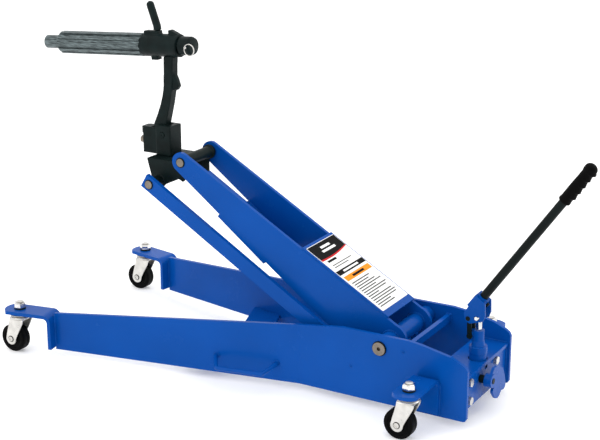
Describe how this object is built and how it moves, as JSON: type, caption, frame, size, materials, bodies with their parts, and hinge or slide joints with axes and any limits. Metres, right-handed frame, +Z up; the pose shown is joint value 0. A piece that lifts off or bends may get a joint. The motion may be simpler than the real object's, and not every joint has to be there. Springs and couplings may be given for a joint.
{
  "type": "clutch jack",
  "caption": "Low rolling hydraulic jack with parallel lift arms, a cranked neck and a splined alignment shaft, on swivel casters.",
  "frame": {"origin": "middle of the overall footprint, on the floor under the wheels", "axes": "+X to the rear (pump handle), -X to the front (splined shaft), +Z up, -Y to the jack's left"},
  "size_m": [1.3171, 0.5346, 0.7838],
  "materials": {
    "frame_paint": "gloss",
    "head_black": "satin",
    "zinc_plate": "satin",
    "bright_steel": "satin",
    "spline_steel": "worn",
    "chrome_rod": "polished",
    "wheel_tread": "satin",
    "grip_rubber": "matte",
    "label": "matte"
  },
  "bodies": {
    "base": {"side_plate_left": "frame_paint", "side_plate_right": "frame_paint", "front_cross_plate": "frame_paint", "rear_angle_plate": "frame_paint", "rear_cross_bar": "frame_paint", "caster_brackets": "frame_paint", "leg_handles": "frame_paint", "main_pivot_pin": "bright_steel", "pivot_snap_rings": "head_black", "link_pivot_studs": "frame_paint", "caster_stems": "zinc_plate", "caster_nuts": "zinc_plate", "hydraulic_block": "frame_paint", "ram_cylinder": "frame_paint", "pump_barrel": "frame_paint", "pump_fulcrum_links": "head_black", "oil_filler_plug": "bright_steel", "panel_bolts": "zinc_plate"},
    "lift_arms": {"lift_arm_left": "frame_paint", "lift_arm_right": "frame_paint", "arm_hub_tube": "frame_paint", "arm_top_plate": "frame_paint", "arm_brace_plate": "frame_paint", "crank_lugs": "frame_paint", "head_pivot_pin": "bright_steel", "label_sheet": "label"},
    "roller": {"crank_roller": "bright_steel"},
    "lower_links": {"lower_link_left": "frame_paint", "lower_link_right": "frame_paint"},
    "yoke": {"head_yoke": "head_black", "head_lower_pin": "bright_steel"},
    "swivel": {"swivel_block": "head_black", "swivel_pin": "bright_steel", "tilt_pin": "head_black"},
    "tilt_screw": {"tilt_adjusting_screw": "bright_steel"},
    "tilt_head": {"head_neck": "head_black", "shaft_socket": "head_black"},
    "lever": {"clamp_lever": "head_black"},
    "shaft": {"spline_shaft": "spline_steel", "shaft_end_knob": "head_black", "retaining_pin_ring": "zinc_plate"},
    "ram": {"ram_plunger": "chrome_rod"},
    "pump_handle": {"handle_socket": "frame_paint", "handle_set_screw": "head_black", "handle_tube": "head_black", "handle_grip": "grip_rubber"},
    "plunger": {"pump_plunger": "chrome_rod"},
    "release_valve": {"release_valve_stem": "head_black", "release_pedal": "frame_paint"},
    "caster_front_left": {"caster_fork_front_left": "zinc_plate"},
    "wheel_front_left": {"wheel_front_left": "wheel_tread"},
    "caster_front_right": {"caster_fork_front_right": "zinc_plate"},
    "wheel_front_right": {"wheel_front_right": "wheel_tread"},
    "caster_rear_left": {"caster_fork_rear_left": "zinc_plate"},
    "wheel_rear_left": {"wheel_rear_left": "wheel_tread"},
    "caster_rear_right": {"caster_fork_rear_right": "zinc_plate"},
    "wheel_rear_right": {"wheel_rear_right": "wheel_tread"}
  },
  "joints": [
    {"name": "arm_lift", "type": "hinge", "parent": "base", "child": "lift_arms", "pos_m": [0.26, 0, 0.137], "axis": [0, 1, 0], "range_deg": [-32.5, 24]},
    {"name": "roller_spin", "type": "hinge", "parent": "lift_arms", "child": "roller", "pos_m": [0.26, 0, 0.073], "axis": [0, 1, 0], "continuous": true},
    {"name": "link_swing", "type": "hinge", "parent": "base", "child": "lower_links", "pos_m": [0.194, 0, 0.085], "axis": [0, 1, 0], "range_deg": [-32.5, 24]},
    {"name": "yoke_level", "type": "hinge", "parent": "lift_arms", "child": "yoke", "pos_m": [-0.25538, 0, 0.44423], "axis": [0, 1, 0], "range_deg": [-24, 32.5]},
    {"name": "head_swivel", "type": "hinge", "parent": "yoke", "child": "swivel", "pos_m": [-0.33, 0, 0.44], "axis": [0, 0, 1], "range_deg": [-20, 20]},
    {"name": "head_tilt", "type": "hinge", "parent": "swivel", "child": "tilt_head", "pos_m": [-0.332, 0, 0.487], "axis": [0, 1, 0], "range_deg": [-8, 8]},
    {"name": "tilt_screw_travel", "type": "slide", "parent": "swivel", "child": "tilt_screw", "axis": [1, 0, 0], "range_m": [-0.003, 0.003]},
    {"name": "shaft_spin", "type": "hinge", "parent": "tilt_head", "child": "shaft", "pos_m": [-0.346, 0, 0.683], "axis": [-0.9979, 0, -0.0645], "continuous": true},
    {"name": "clamp_turn", "type": "hinge", "parent": "tilt_head", "child": "lever", "pos_m": [-0.35138, 0, 0.71973], "axis": [-0.0645, 0, 0.9979], "range_deg": [-75, 75]},
    {"name": "ram_stroke", "type": "slide", "parent": "base", "child": "ram", "axis": [-1, 0, 0], "range_m": [-0.0353, 0.0262]},
    {"name": "pump_stroke", "type": "hinge", "parent": "base", "child": "pump_handle", "pos_m": [0.409, 0, 0.198], "axis": [0, 1, 0], "range_deg": [-18, 24]},
    {"name": "plunger_stroke", "type": "slide", "parent": "base", "child": "plunger", "axis": [0, 0, -1], "range_m": [-0.0061, 0.0081]},
    {"name": "release_turn", "type": "hinge", "parent": "base", "child": "release_valve", "pos_m": [0.46, -0.03, 0.08], "axis": [1, 0, 0], "range_deg": [-25, 0], "stiffness_Nm_per_rad": 0.8, "springref_deg": 22.92},
    {"name": "front_left_swivel", "type": "hinge", "parent": "base", "child": "caster_front_left", "pos_m": [-0.581, -0.23763, 0.09], "axis": [0, 0, 1], "continuous": true},
    {"name": "front_left_roll", "type": "hinge", "parent": "caster_front_left", "child": "wheel_front_left", "pos_m": [-0.598, -0.23763, 0.03175], "axis": [0, 1, 0], "continuous": true},
    {"name": "front_right_swivel", "type": "hinge", "parent": "base", "child": "caster_front_right", "pos_m": [-0.581, 0.23763, 0.09], "axis": [0, 0, 1], "continuous": true},
    {"name": "front_right_roll", "type": "hinge", "parent": "caster_front_right", "child": "wheel_front_right", "pos_m": [-0.598, 0.23763, 0.03175], "axis": [0, 1, 0], "continuous": true},
    {"name": "rear_left_swivel", "type": "hinge", "parent": "base", "child": "caster_rear_left", "pos_m": [0.37, -0.2025, 0.09], "axis": [0, 0, 1], "continuous": true},
    {"name": "rear_left_roll", "type": "hinge", "parent": "caster_rear_left", "child": "wheel_rear_left", "pos_m": [0.353, -0.2025, 0.03175], "axis": [0, 1, 0], "continuous": true},
    {"name": "rear_right_swivel", "type": "hinge", "parent": "base", "child": "caster_rear_right", "pos_m": [0.37, 0.2025, 0.09], "axis": [0, 0, 1], "continuous": true},
    {"name": "rear_right_roll", "type": "hinge", "parent": "caster_rear_right", "child": "wheel_rear_right", "pos_m": [0.353, 0.2025, 0.03175], "axis": [0, 1, 0], "continuous": true}
  ],
  "couplings": [
    {"joint": "link_swing", "follows": "arm_lift", "ratio": 1},
    {"joint": "yoke_level", "follows": "arm_lift", "ratio": -1},
    {"joint": "ram_stroke", "follows": "arm_lift", "m_per_rad": 0.062},
    {"joint": "tilt_screw_travel", "follows": "head_tilt", "m_per_rad": -0.021},
    {"joint": "plunger_stroke", "follows": "pump_stroke", "m_per_rad": 0.019}
  ]
}
